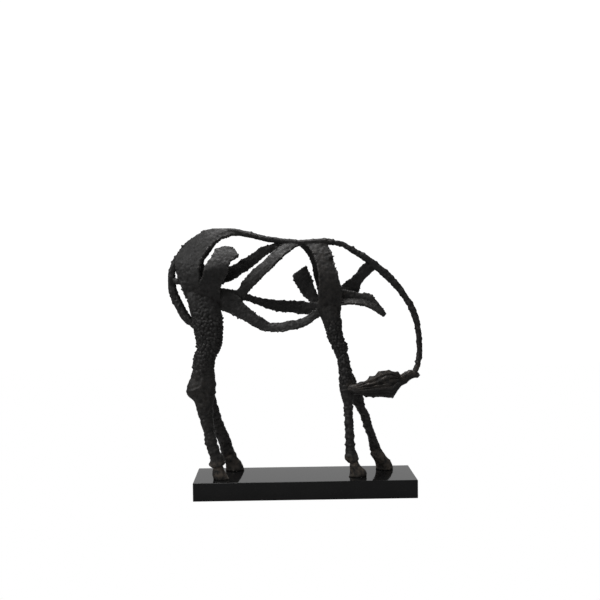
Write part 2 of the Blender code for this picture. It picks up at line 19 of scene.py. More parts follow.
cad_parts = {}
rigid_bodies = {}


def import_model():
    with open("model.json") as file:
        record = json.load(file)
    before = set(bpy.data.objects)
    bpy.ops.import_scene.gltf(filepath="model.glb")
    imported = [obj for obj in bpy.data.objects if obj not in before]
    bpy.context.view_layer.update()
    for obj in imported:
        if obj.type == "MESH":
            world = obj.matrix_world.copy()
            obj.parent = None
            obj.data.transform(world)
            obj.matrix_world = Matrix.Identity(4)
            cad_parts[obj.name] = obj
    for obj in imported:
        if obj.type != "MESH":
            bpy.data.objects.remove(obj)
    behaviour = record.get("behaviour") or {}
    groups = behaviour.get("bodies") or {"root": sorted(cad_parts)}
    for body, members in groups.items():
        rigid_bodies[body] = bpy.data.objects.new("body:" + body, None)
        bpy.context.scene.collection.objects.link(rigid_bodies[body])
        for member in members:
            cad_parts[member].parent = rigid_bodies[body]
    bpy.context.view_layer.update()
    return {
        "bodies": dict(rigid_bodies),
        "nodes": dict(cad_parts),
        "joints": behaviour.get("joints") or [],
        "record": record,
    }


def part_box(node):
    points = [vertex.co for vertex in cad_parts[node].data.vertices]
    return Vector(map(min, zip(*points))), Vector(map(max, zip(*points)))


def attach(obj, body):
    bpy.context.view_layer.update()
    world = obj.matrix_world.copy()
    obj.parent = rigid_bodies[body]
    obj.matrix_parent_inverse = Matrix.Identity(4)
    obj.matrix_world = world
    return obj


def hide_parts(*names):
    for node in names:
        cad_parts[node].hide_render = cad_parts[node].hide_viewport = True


log = logging.getLogger("horse")

HORSE_HEIGHT = 0.413
REST_GAP = 0.0003

Place = tuple[float, float, float]


def on_horse(place: Place, ground: float) -> Vector:
    """Turn a place in hundredths of the horse's height into metres.

    Args:
        place: x, y and z in hundredths of the horse's height.
        ground: The level of the soles, in metres.

    Returns:
        The place in metres.
    """
    return Vector(place) * (HORSE_HEIGHT / 100.0) + Vector((0.0, 0.0, ground))


def only_active(item: bpy.types.Object) -> None:
    """Deselect everything, then select one object and make it active.

    Args:
        item: The object to work on.
    """
    bpy.ops.object.select_all(action="DESELECT")
    item.select_set(True)
    bpy.context.view_layer.objects.active = item


def apply_modifier(item: bpy.types.Object, kind: str, **settings: object) -> None:
    """Add a modifier, set it and apply it.

    Args:
        item: The object that takes it.
        kind: The modifier's type.
        **settings: Its settings by name.
    """
    only_active(item)
    modifier = item.modifiers.new(kind.lower(), kind)
    for name, value in settings.items():
        setattr(modifier, name, value)
    bpy.ops.object.modifier_apply(modifier=modifier.name)


def smooth_step(values: np.ndarray, low: float, high: float) -> np.ndarray:
    """Ease values from 0 at low to 1 at high."""
    t = np.clip((values - low) / (high - low), 0.0, 1.0)
    return t * t * (3.0 - 2.0 * t)


class Wiring:
    """The nodes of one material, wired a step at a time."""

    def __init__(self, name: str) -> None:
        """Start a material with its shader and object coordinates.

        Args:
            name: The material's name.
        """
        self.material = bpy.data.materials.new(name)
        self.material.use_nodes = True
        self.tree = self.material.node_tree
        self.shader = self.tree.nodes["Principled BSDF"]
        self.place = self.add("ShaderNodeTexCoord").outputs["Object"]

    def add(self, kind: str, **settings: object) -> bpy.types.Node:
        """Add a node and set its own properties.

        Args:
            kind: The node's type.
            **settings: Its properties by name.

        Returns:
            The new node.
        """
        node = self.tree.nodes.new(kind)
        for name, value in settings.items():
            setattr(node, name, value)
        return node

    def feed(self, socket: bpy.types.NodeSocket, value: object) -> None:
        """Link a socket to another one, or give it a constant.

        Args:
            socket: The input that takes it.
            value: An output socket or the constant.
        """
        if isinstance(value, bpy.types.NodeSocket):
            self.tree.links.new(value, socket)
        else:
            socket.default_value = value

    def noise(self, size: float, detail: float = 3.0, rough: float = 0.55) -> bpy.types.NodeSocket:
        """Soft random value.

        Args:
            size: The length of its largest blotches, in metres.
            detail: How many finer layers it has.
            rough: How strong the finer layers are.

        Returns:
            The value's socket, about 0.3 to 0.7.
        """
        node = self.add("ShaderNodeTexNoise")
        self.feed(node.inputs["Vector"], self.place)
        self.feed(node.inputs["Scale"], 1.0 / size)
        self.feed(node.inputs["Detail"], detail)
        self.feed(node.inputs["Roughness"], rough)
        return node.outputs["Fac"]

    def cells(self, size: float) -> bpy.types.Node:
        """Cells with a random colour each.

        Args:
            size: How far apart they are, in metres.

        Returns:
            The Voronoi node.
        """
        node = self.add("ShaderNodeTexVoronoi")
        self.feed(node.inputs["Vector"], self.place)
        self.feed(node.inputs["Scale"], 1.0 / size)
        return node

    def attribute(self, name: str) -> bpy.types.NodeSocket:
        """A value kept on the mesh's points."""
        return self.add("ShaderNodeAttribute", attribute_name=name).outputs["Fac"]

    def span(
        self, value: object, low: float, high: float, start: float = 0.0, end: float = 1.0
    ) -> bpy.types.NodeSocket:
        """Stretch a value from one range to another and keep it inside.

        Args:
            value: The value's socket.
            low: The value that becomes start.
            high: The value that becomes end.
            start: The new value at low.
            end: The new value at high.

        Returns:
            The stretched value's socket.
        """
        node = self.add("ShaderNodeMapRange", clamp=True)
        parts = {"Value": value, "From Min": low, "From Max": high, "To Min": start, "To Max": end}
        for name, part in parts.items():
            self.feed(node.inputs[name], part)
        return node.outputs["Result"]

    def mix(self, share: object, first: object, second: object) -> bpy.types.NodeSocket:
        """Blend two colours.

        Args:
            share: How much of the second colour there is, from 0 to 1.
            first: The colour at 0.
            second: The colour at 1.

        Returns:
            The blended colour's socket.
        """
        node = self.add("ShaderNodeMix", data_type="RGBA")
        self.feed(node.inputs[0], share)
        self.feed(node.inputs[6], first)
        self.feed(node.inputs[7], second)
        return node.outputs[2]

    def maths(self, first: object, second: object, operation: str = "ADD") -> bpy.types.NodeSocket:
        """Work out one number from two.

        Args:
            first: A socket or a number.
            second: A socket or a number.
            operation: What is done with them.

        Returns:
            The result's socket.
        """
        node = self.add("ShaderNodeMath", operation=operation)
        self.feed(node.inputs[0], first)
        self.feed(node.inputs[1], second)
        return node.outputs[0]

    def bump(
        self, height: object, depth: float, strength: float, under: object = None
    ) -> bpy.types.NodeSocket:
        """Tilt the surface by a height.

        Args:
            height: The height's socket, from 0 to 1.
            depth: What a height of 1 is, in metres.
            strength: The share of the tilt that is kept.
            under: The normal of a coarser bump below this one.

        Returns:
            The tilted normal's socket.
        """
        node = self.add("ShaderNodeBump")
        self.feed(node.inputs["Strength"], strength)
        self.feed(node.inputs["Distance"], depth)
        self.feed(node.inputs["Height"], height)
        if under is not None:
            self.feed(node.inputs["Normal"], under)
        return node.outputs["Normal"]


@dataclass(frozen=True)
class IronFinish:
    """Blackened cast iron, lighter and glossier on its crests from rubbing and a painted highlight, darker in
    its hollows and under the jaw from dirt and painted shade, and browner where the mesh's brown value says
    so, which on the near shoulder and near hock is painted light.

    Mottle, fleck, the patches, grain and pit are lengths in metres, and so are the two depths.
    """

    dark: tuple = (0.011, 0.0107, 0.0105, 1.0)
    pale: tuple = (0.026, 0.0250, 0.0245, 1.0)
    # This pale colour on the crests is partly rubbing and partly a painted highlight.
    rubbed_and_highlight: tuple = (0.055, 0.0520, 0.0500, 1.0)
    # This near-black is laid in hollows and under the jaw: partly dirt, partly painted shade.
    dust_and_shade_colour: tuple = (0.0050, 0.0038, 0.0033, 1.0)
    brown: tuple = (0.140, 0.1140, 0.0920, 1.0)
    metallic: float = 0.35
    mottle: float = 0.016
    mottle_share: float = 0.55
    fleck: float = 0.0042
    fleck_share: float = 0.60
    brown_patch: float = 0.007
    wear_and_highlight_patch: float = 0.005
    dull_patch: float = 0.009
    most_dust_and_shade: float = 0.85
    dullest: float = 0.62
    glossiest: float = 0.47
    worn_gloss: float = 0.10
    grain: float = 0.0011
    grain_depth: float = 0.00016
    pit: float = 0.0024
    pit_depth: float = 0.00012

    def make(self) -> bpy.types.Material:
        """Wire the material.

        Returns:
            The material.
        """
        w = Wiring("blackened cast iron")
        mottle = w.span(w.noise(self.mottle, 5.0, 0.6), 0.36, 0.66)
        flecks = w.span(w.noise(self.fleck, 3.0, 0.5), 0.38, 0.64)
        mottle = w.maths(mottle, self.mottle_share, "MULTIPLY")
        flecks = w.maths(flecks, self.fleck_share, "MULTIPLY")
        colour = w.mix(w.maths(mottle, flecks), self.dark, self.pale)
        # Brownness from the mesh: real brown on the head and hooves, painted light on the near shoulder and
        # near hock.
        brown_and_painted_light = w.maths(w.attribute("brown_and_painted_light"), w.span(w.noise(self.brown_patch, 4.0), 0.38, 0.62), "MULTIPLY")
        colour = w.mix(brown_and_painted_light, colour, self.brown)
        # Darker in hollows and under the jaw: partly dirt, partly painted shade.
        dust_and_shade_share = w.span(w.attribute("dust_and_shade"), 0.05, 0.8, 0.0, self.most_dust_and_shade)
        colour = w.mix(dust_and_shade_share, colour, self.dust_and_shade_colour)
        # Lighter and glossier on crests: partly rubbing, partly a painted highlight.
        wear_and_highlight_share = w.maths(w.attribute("wear_and_highlight"), w.span(w.noise(self.wear_and_highlight_patch, 3.0), 0.35, 0.6), "MULTIPLY")
        colour = w.mix(wear_and_highlight_share, colour, self.rubbed_and_highlight)
        w.feed(w.shader.inputs["Base Color"], colour)
        dull = w.span(w.noise(self.dull_patch, 4.0), 0.35, 0.65, self.dullest, self.glossiest)
        gloss = w.maths(wear_and_highlight_share, self.worn_gloss, "MULTIPLY")
        w.feed(w.shader.inputs["Roughness"], w.maths(dull, gloss, "SUBTRACT"))
        w.feed(w.shader.inputs["Metallic"], self.metallic)
        pits = w.span(w.cells(self.pit).outputs["Distance"], 0.05, 0.45)
        coarse = w.bump(pits, self.pit_depth, 0.35)
        fine = w.bump(w.noise(self.grain, 4.0, 0.6), self.grain_depth, 0.5, coarse)
        w.feed(w.shader.inputs["Normal"], fine)
        return w.material


@dataclass(frozen=True)
class StoneFinish:
    """Black stone with faint crystals, polished or as left by the saw.

    Grain is how far apart the crystals are, cloud and smear how large the patches of tone and of shine are.
    Shine is the roughness where it is best polished, and rough_shine where it is least. A crystal whose
    random value is above rare is a pale fleck.
    """

    name: str
    shine: float
    rough_shine: float
    ior: float = 1.335
    dark: tuple = (0.0072, 0.0072, 0.0074, 1.0)
    crystal: tuple = (0.0130, 0.0130, 0.0134, 1.0)
    fleck: tuple = (0.0420, 0.0410, 0.0390, 1.0)
    grain: float = 0.0011
    cloud: float = 0.03
    smear: float = 0.045
    rare: float = 0.975
    fleck_share: float = 0.5

    def make(self) -> bpy.types.Material:
        """Wire the material.

        Returns:
            The material.
        """
        w = Wiring(self.name)
        crystals = w.cells(self.grain)
        shade = w.add("ShaderNodeSeparateColor")
        w.feed(shade.inputs["Color"], crystals.outputs["Color"])
        cloud = w.span(w.noise(self.cloud, 4.0), 0.3, 0.7)
        colour = w.mix(w.maths(shade.outputs["Red"], cloud, "MULTIPLY"), self.dark, self.crystal)
        fleck = w.span(shade.outputs["Green"], self.rare, 1.0, 0.0, self.fleck_share)
        w.feed(w.shader.inputs["Base Color"], w.mix(fleck, colour, self.fleck))
        smear = w.span(w.noise(self.smear, 3.0), 0.42, 0.7, self.shine, self.rough_shine)
        w.feed(w.shader.inputs["Roughness"], smear)
        w.feed(w.shader.inputs["IOR"], self.ior)
        return w.material


class Surface(Enum):
    """How the clay was worked where the casting has a member."""

    BAND = "flat strip"
    ROD = "lumpy rod"
    THIGH = "pellets of clay"
    HOCK = "pressed planes"
    SHANK = "rings of clay"
    HOOF = "smoothed clay"
    HEAD = "long folds"


@dataclass(frozen=True)
class Relief:
    """Depths and lengths of one kind of surface, in metres.

    The grain is fine streaks, run long and gap wide. Lumps are rounded pellets, lump long and lump_width
    wide. They reach lump_reach of that, and lump_level of their height is above the surface. Knobs stand
    alone, lower on the faces than on the edges. Dents are the broad unevenness under it all. Ragged is how
    uneven the edges are, and softening is how many times the facets are smoothed. Free lumps lie any way,
    others follow the member.
    """

    run: float = 0.016
    gap: float = 0.0024
    grain: float = 0.0001
    lump: float = 0.006
    lump_width: float = 0.006
    lump_height: float = 0.0
    lump_reach: float = 0.75
    lump_level: float = 0.55
    dent: float = 0.012
    dent_height: float = 0.0003
    knob: float = 0.0008
    edge_knob: float = 0.0016
    ragged: float = 0.0008
    softening: float = 3.0
    brown_and_painted_light: float = 0.0
    free: bool = False


RELIEFS = {
    Surface.BAND: Relief(
        run=0.009, gap=0.0022, grain=0.0003, lump=0.0042, lump_width=0.0046, lump_height=0.0006,
        dent=0.010, dent_height=0.0004, knob=0.0004, edge_knob=0.0032
    ),
    Surface.ROD: Relief(
        lump=0.0056, lump_width=0.0050, lump_height=0.0012, dent=0.009, dent_height=0.0006, knob=0.0020,
        edge_knob=0.0020
    ),
    Surface.THIGH: Relief(
        lump=0.0046, lump_height=0.0023, dent=0.010, dent_height=0.0010, knob=0.0020, edge_knob=0.0020,
        softening=9.0, free=True
    ),
    Surface.HOCK: Relief(
        lump=0.0060, lump_height=0.0004, dent=0.014, dent_height=0.0012, knob=0.0007, edge_knob=0.0014,
        softening=5.0, free=True
    ),
    Surface.SHANK: Relief(
        lump=0.0050, lump_width=0.0075, lump_height=0.0013, dent=0.008, dent_height=0.0008, knob=0.0013,
        edge_knob=0.0013, softening=5.0, brown_and_painted_light=0.06
    ),
    Surface.HOOF: Relief(
        run=0.008, lump=0.007, lump_width=0.007, lump_height=0.0004, dent_height=0.0005, knob=0.0,
        edge_knob=0.0005, softening=4.0, brown_and_painted_light=0.9
    ),
    Surface.HEAD: Relief(
        run=0.020, gap=0.0022, grain=0.0003, dent=0.012, dent_height=0.0005, knob=0.0004,
        edge_knob=0.0016, brown_and_painted_light=0.06
    ),
}


@dataclass(frozen=True)
class Member:
    """One strip, rod, stretch of a leg or the head, as the line through its middle.

    The path is in hundredths of the horse's height, and so is reach, about half the member's width. Its brown
    share adds to the surface's own value, and on the near shoulder and near hock it is painted light that
    lightens them; swell is how far the member fills out, in metres.
    """

    name: str
    surface: Surface
    reach: float
    path: tuple[Place, ...]
    brown_and_painted_light: float = 0.0
    swell: float = 0.0

    def measure(self, points: np.ndarray, ground: float) -> tuple[np.ndarray, np.ndarray]:
        """Find where points lie along the member.

        Args:
            points: Rows of x, y and z in metres.
            ground: The level of the soles.

        Returns:
            The distance from the middle line, and rows of the length along it, the offset sideways in the
            X-Z plane and the offset in depth.
        """
        line = [np.array(on_horse(place, ground)) for place in self.path]
        nearest = np.full(len(points), np.inf)
        rows = np.zeros((len(points), 3))
        covered = 0.0
        for start, end in zip(line, line[1:]):
            length = float(np.linalg.norm(end - start))
            along = (end - start) / length
            sideways = np.cross(along, (0.0, 1.0, 0.0))
            sideways /= np.linalg.norm(sideways)
            deep = np.cross(along, sideways)
            run = (points - start) @ along
            offset = points - start - np.clip(run, 0.0, length)[:, None] * along
            distance = np.linalg.norm(offset, axis=1)
            closer = distance < nearest
            nearest[closer] = distance[closer]
            rows[closer] = np.stack(
                (covered + run[closer], offset[closer] @ sideways, offset[closer] @ deep), axis=1
            )
            covered += length
        return nearest, rows


def far_twin(member: Member, name: str) -> Member:
    """The same member on the far side."""
    mirrored = tuple((x, -y, z) for x, y, z in member.path)
    return replace(member, name=name, path=mirrored)


def horse_members() -> list[Member]:
    """List every member of the casting.

    Returns:
        The members, from the rump to the muzzle.
    """
    band, rod, thigh, hock = Surface.BAND, Surface.ROD, Surface.THIGH, Surface.HOCK
    shank, hoof = Surface.SHANK, Surface.HOOF
    near_rump = Member("near_rump", band, 5.0, (
        (-25.0, -0.2, 98.0), (-33.0, -0.9, 97.9), (-39.9, -2.0, 94.0), (-44.8, -2.8, 87.6),
        (-46.0, -3.4, 83.5), (-44.7, -4.2, 77.7), (-42.3, -3.8, 70.6),
    ), swell=0.0010)
    return [
        near_rump,
        far_twin(near_rump, "far_rump"),
        Member("hip_plate", band, 3.8, (
            (-36.9, -3.9, 67.2), (-37.2, -5.8, 76.4), (-34.7, -8.2, 82.7), (-33.2, -6.7, 86.8),
            (-30.9, -3.6, 91.4),
        ), swell=0.0012),
        Member("far_strut", band, 2.6, (
            (-40.4, 4.4, 71.8), (-35.6, 4.6, 79.4), (-27.6, 4.3, 82.6), (-18.9, 2.8, 87.9), (-7.6, 0.2, 93.7),
        ), swell=-0.0002),
        Member("near_strut", band, 2.3, (
            (-26.7, -2.8, 71.5), (-22.4, -4.4, 77.0), (-18.1, -4.9, 81.5), (-10.0, -3.4, 89.3),
            (-3.2, -0.4, 93.7),
        ), swell=0.0005),
        Member("rib", band, 1.8, (
            (-36.4, -3.2, 72.6), (-26.7, -3.2, 72.7), (-21.4, -0.8, 71.3), (-11.9, 2.3, 68.6),
            (-0.9, 3.3, 67.5), (9.4, 0.8, 67.2),
        )),
        Member("belly_strip", band, 2.6, (
            (-35.4, -3.6, 72.6), (-27.5, -4.4, 69.2), (-19.0, -6.5, 62.6), (-13.2, -7.2, 60.2),
            (-5.2, -6.5, 61.0), (2.1, -4.1, 63.4), (6.5, -3.0, 66.2),
        )),
        # This brown share is painted light: it lightens the near shoulder as if lit.
        Member("near_shoulder", band, 4.2, (
            (5.0, 0.0, 94.5), (7.7, -2.8, 89.4), (9.6, -5.7, 81.9), (10.8, -6.1, 74.4), (10.3, -4.3, 66.4),
        ), brown_and_painted_light=0.10, swell=0.0004),
        Member("far_shoulder", band, 4.2, (
            (3.1, 0.2, 94.3), (5.8, 3.5, 88.9), (8.3, 5.4, 81.8), (10.3, 4.6, 74.0), (10.3, 3.6, 69.7),
        )),
        Member("leaf", band, 2.8, (
            (6.8, 2.7, 69.0), (2.2, 4.2, 74.2), (-0.4, 5.2, 80.1), (-1.4, 5.4, 82.5),
        )),
        Member("neck_strut", band, 3.0, (
            (15.3, 1.2, 70.8), (20.9, 1.0, 77.7), (24.9, 0.4, 82.3), (27.9, 0.0, 84.7),
        )),
        Member("chest_flap", band, 3.0, (
            (13.0, -2.6, 71.5), (21.2, -3.9, 70.8), (27.9, -5.0, 68.8), (32.1, -5.4, 64.8),
        ), brown_and_painted_light=0.1, swell=0.0010),
        Member("spine", rod, 1.0, (
            (-30.0, 0.0, 98.9), (-19.6, 0.0, 96.7), (-7.6, 0.0, 94.2), (9.3, 0.0, 94.4),
        ), swell=0.0006),
        Member("neck", rod, 1.1, (
            (6.1, 0.0, 94.3), (15.8, 0.0, 92.8), (26.3, 0.0, 86.6), (35.4, 0.0, 79.0),
            (42.3, 0.0, 69.9), (46.5, 0.0, 58.1), (47.0, 0.0, 49.1), (44.8, 0.0, 40.6),
        ), swell=0.0004),
        Member("tail", rod, 1.3, (
            (-48.9, 0.0, 89.1), (-52.7, 0.0, 80.5), (-51.1, -0.2, 71.4), (-45.9, -1.5, 63.5),
            (-41.5, -2.4, 60.0),
        ), swell=0.0013),
        Member("near_thigh", thigh, 5.0, (
            (-41.1, -3.8, 73.3), (-37.9, -4.4, 58.9), (-38.2, -4.6, 51.0), (-40.1, -4.8, 44.2),
        ), swell=0.0008),
        Member("far_thigh", thigh, 4.5, (
            (-40.6, 4.1, 71.0), (-38.5, 4.8, 58.0), (-39.3, 5.3, 49.0), (-40.1, 5.6, 43.0),
        )),
        Member("near_forearm", thigh, 3.2, (
            (10.4, -2.8, 71.5), (12.0, -3.3, 60.0), (14.8, -3.9, 50.0), (16.6, -4.4, 39.5),
        )),
        Member("far_forearm", thigh, 3.0, (
            (10.5, 2.5, 70.5), (12.4, 2.8, 57.4), (15.0, 3.4, 49.0), (19.2, 4.5, 36.6),
        )),
        # The near hock's brown share is painted light that lightens it as if lit.
        Member("near_hock", hock, 4.6, ((-40.1, -4.9, 43.0), (-41.2, -5.4, 34.0)), brown_and_painted_light=0.12, swell=0.0009),
        Member("far_hock", hock, 3.9, ((-40.1, 5.7, 42.0), (-40.5, 6.2, 34.0))),
        Member("near_hind_shank", shank, 2.3, (
            (-40.2, -5.6, 31.2), (-38.9, -5.8, 22.8), (-37.2, -6.1, 14.4), (-35.3, -6.1, 9.2),
        ), swell=0.0004),
        Member("far_hind_shank", shank, 2.6, (
            (-40.0, 6.3, 31.5), (-36.8, 6.8, 21.6), (-33.9, 7.1, 14.9), (-32.0, 7.5, 8.9),
        ), swell=0.0007),
        Member("near_fore_shank", shank, 1.6, (
            (16.9, -4.5, 34.7), (17.4, -4.6, 29.9), (17.7, -4.6, 22.2), (18.2, -4.7, 11.0),
        ), swell=0.0003),
        Member("far_fore_shank", shank, 1.8, (
            (21.0, 4.7, 32.8), (23.3, 5.1, 26.1), (26.7, 5.6, 17.7), (29.1, 5.9, 10.1),
        ), swell=0.0003),
        Member("near_hind_hoof", hoof, 2.4, ((-35.0, -6.1, 5.0), (-33.4, -6.1, 0.0))),
        Member("far_hind_hoof", hoof, 3.2, ((-31.0, 7.7, 6.0), (-28.6, 8.0, 0.0)), brown_and_painted_light=-0.45, swell=0.0008),
        Member("near_fore_hoof", hoof, 2.8, ((20.0, -4.8, 4.0), (21.1, -4.8, 0.0)), swell=0.0005),
        Member("far_fore_hoof", hoof, 2.9, ((31.2, 6.2, 5.0), (33.4, 6.3, 0.0)), brown_and_painted_light=-0.10, swell=0.0007),
        Member("head", Surface.HEAD, 4.0, (
            (45.7, 0.0, 39.7), (38.9, -1.5, 37.9), (35.0, -3.4, 36.6), (28.5, -5.3, 36.3), (20.5, -6.8, 35.3),
        ), swell=0.0011),
        Member("muzzle", hock, 1.6, ((19.0, -6.8, 35.2), (15.6, -4.9, 35.0))),
    ]


class Skin:
    """The points and edges of a mesh as arrays."""

    def __init__(self, mesh: bpy.types.Mesh) -> None:
        """Read a mesh.

        Args:
            mesh: The mesh whose points will be moved.
        """
        self.mesh = mesh
        self.points = np.empty(len(mesh.vertices) * 3)
        mesh.vertices.foreach_get("co", self.points)
        self.points = self.points.reshape(-1, 3)
        self.edges = np.empty(len(mesh.edges) * 2, dtype=np.int64)
        mesh.edges.foreach_get("vertices", self.edges)
        self.edges = self.edges.reshape(-1, 2)
        self.ties = np.bincount(self.edges.ravel(), minlength=len(self.points)).astype(float)

    def around(self, values: np.ndarray) -> np.ndarray:
        """Average of each point's neighbours.

        Args:
            values: One value or one row for each point.

        Returns:
            The averages in the same form.
        """
        first, second = self.edges[:, 0], self.edges[:, 1]
        columns = values.reshape(len(values), -1)
        count = len(values)
        means = [
            (
                np.bincount(first, weights=column[second], minlength=count)
                + np.bincount(second, weights=column[first], minlength=count)
            )
            / self.ties
            for column in columns.T
        ]
        return np.stack(means, axis=1).reshape(values.shape)

    def normals(self) -> np.ndarray:
        """Find the outward direction at each point as it stands now.

        Returns:
            Rows of x, y and z.
        """
        self.store()
        rows = np.empty(len(self.points) * 3)
        self.mesh.vertices.foreach_get("normal", rows)
        return rows.reshape(-1, 3)

    def store(self) -> None:
        """Write the points back to the mesh."""
        self.mesh.vertices.foreach_set("co", self.points.ravel())
        self.mesh.update()

    def soften(self, passes: np.ndarray, pull: float = 0.6, spreads: int = 10) -> None:
        """Smooth the facets away, then swell the surface back to where it was on average.

        Args:
            passes: How many passes each point gets.
            pull: How far a pass takes a point towards its neighbours' middle, from 0 to 1.
            spreads: How widely the swelling is evened out.
        """
        before = self.points.copy()
        for step in range(math.ceil(passes.max())):
            share = np.clip(passes - step, 0.0, 1.0)[:, None]
            self.points += pull * share * (self.around(self.points) - self.points)
        normals = self.normals()
        lost = np.einsum("ij,ij->i", before - self.points, normals)
        for _ in range(spreads):
            lost = self.around(lost)
        self.points += normals * lost[:, None]

    def bulge(self, spreads: int) -> np.ndarray:
        """How far each point stands out of its neighbourhood, for one unit of edge length.

        Args:
            spreads: How many times the result is averaged with its surroundings.

        Returns:
            Positive values on crests and edges, negative ones in hollows.
        """
        out = np.einsum("ij,ij->i", self.points - self.around(self.points), self.normals())
        first, second = self.edges[:, 0], self.edges[:, 1]
        length = np.linalg.norm(self.points[first] - self.points[second], axis=1).mean()
        out /= length
        for _ in range(spreads):
            out = 0.5 * (out + self.around(out))
        return out

    def mark(self, name: str, values: np.ndarray) -> None:
        """Keep a value on each point of the mesh."""
        layer = self.mesh.attributes.new(name, "FLOAT", "POINT")
        layer.data.foreach_set("value", values.astype(np.float32))


@dataclass(frozen=True)
class Bead:
    """A ridge on the near side: a weld, a crease or the lip of a plate. Its path is (x, z) in hundredths."""

    path: tuple[tuple[float, float], ...]
    width: float
    height: float

    def heights(self, flat: np.ndarray, ground: float, facing: np.ndarray) -> np.ndarray:
        """How far each point moves out.

        Args:
            flat: The points' places with no depth, in metres.
            ground: The level of the soles.
            facing: How much each point faces the near side, from 0 to 1.

        Returns:
            The heights in metres.
        """
        line = [np.array(on_horse((x, 0.0, z), ground)) for x, z in self.path]
        distance = np.full(len(flat), np.inf)
        for start, end in zip(line, line[1:]):
            span = end - start
            t = np.clip((flat - start) @ span / (span @ span), 0.0, 1.0)
            distance = np.minimum(distance, np.linalg.norm(flat - start - t[:, None] * span, axis=1))
        return self.height * facing * np.exp(-((distance / self.width) ** 2))


@dataclass(frozen=True)
class Knob:
    """A lump or, with a negative height, a dimple, at a place in hundredths of the horse's height.

    Size and height are shares of the casting's single_knob_width and single_knob_height.
    """

    place: Place
    size: float = 1.0
    height: float = 1.0


@dataclass(frozen=True)
class Ring:
    """A swelling or a groove round a leg, in metres but for its place, aim and reach."""

    place: Place
    aim: Place
    reach: float
    width: float
    height: float

    def heights(self, points: np.ndarray, ground: float) -> np.ndarray:
        """How far each point moves out.

        Args:
            points: Rows of x, y and z in metres.
            ground: The level of the soles.

        Returns:
            The heights in metres.
        """
        centre = np.array(on_horse(self.place, ground))
        axis = np.array(on_horse(self.aim, ground)) - centre
        axis /= np.linalg.norm(axis)
        offset = points - centre
        along = offset @ axis
        out = np.linalg.norm(offset - along[:, None] * axis, axis=1)
        near = out < self.reach * HORSE_HEIGHT / 100.0
        return self.height * np.exp(-((along / self.width) ** 2)) * near


def leg_rings() -> tuple[Ring, ...]:
    """List the fetlocks, the grooves under them and the rings of the near shanks.

    Returns:
        The rings, a negative height being a groove.
    """
    rings = [
        Ring((-35.1, -6.1, 6.4), (-35.3, -6.1, 9.0), 3.9, 0.0036, 0.0009),
        Ring((-34.9, -6.1, 4.6), (-35.3, -6.1, 7.0), 3.9, 0.0021, -0.0017),
        Ring((-31.3, 7.7, 6.6), (-32.3, 7.5, 9.0), 4.2, 0.0022, -0.0009),
        Ring((18.7, -4.8, 8.2), (18.3, -4.7, 12.0), 3.6, 0.0040, 0.0008),
        Ring((19.4, -4.8, 5.5), (18.6, -4.8, 8.0), 3.6, 0.0021, -0.0016),
        Ring((29.9, 6.1, 8.0), (29.1, 5.9, 10.5), 3.6, 0.0022, -0.0008),
    ]
    rings += [
        Ring((x, -4.7, z), (x - 0.5, -4.6, z + 4.0), 2.6, 0.0019, 0.0009)
        for x, z in ((18.2, 12.9), (18.0, 16.0), (17.8, 19.0), (17.7, 21.7), (17.6, 24.6), (17.4, 27.9))
    ]
    hind_rings = (
        (-39.4, 24.4, -0.0010), (-38.3, 18.9, -0.0010), (-37.0, 13.6, -0.0008), (-36.2, 10.9, 0.0008),
    )
    rings += [
        Ring((x, -5.9, z), (x - 0.8, -5.8, z + 4.0), 3.3, 0.0020, height)
        for x, z, height in hind_rings
    ]
    return tuple(rings)


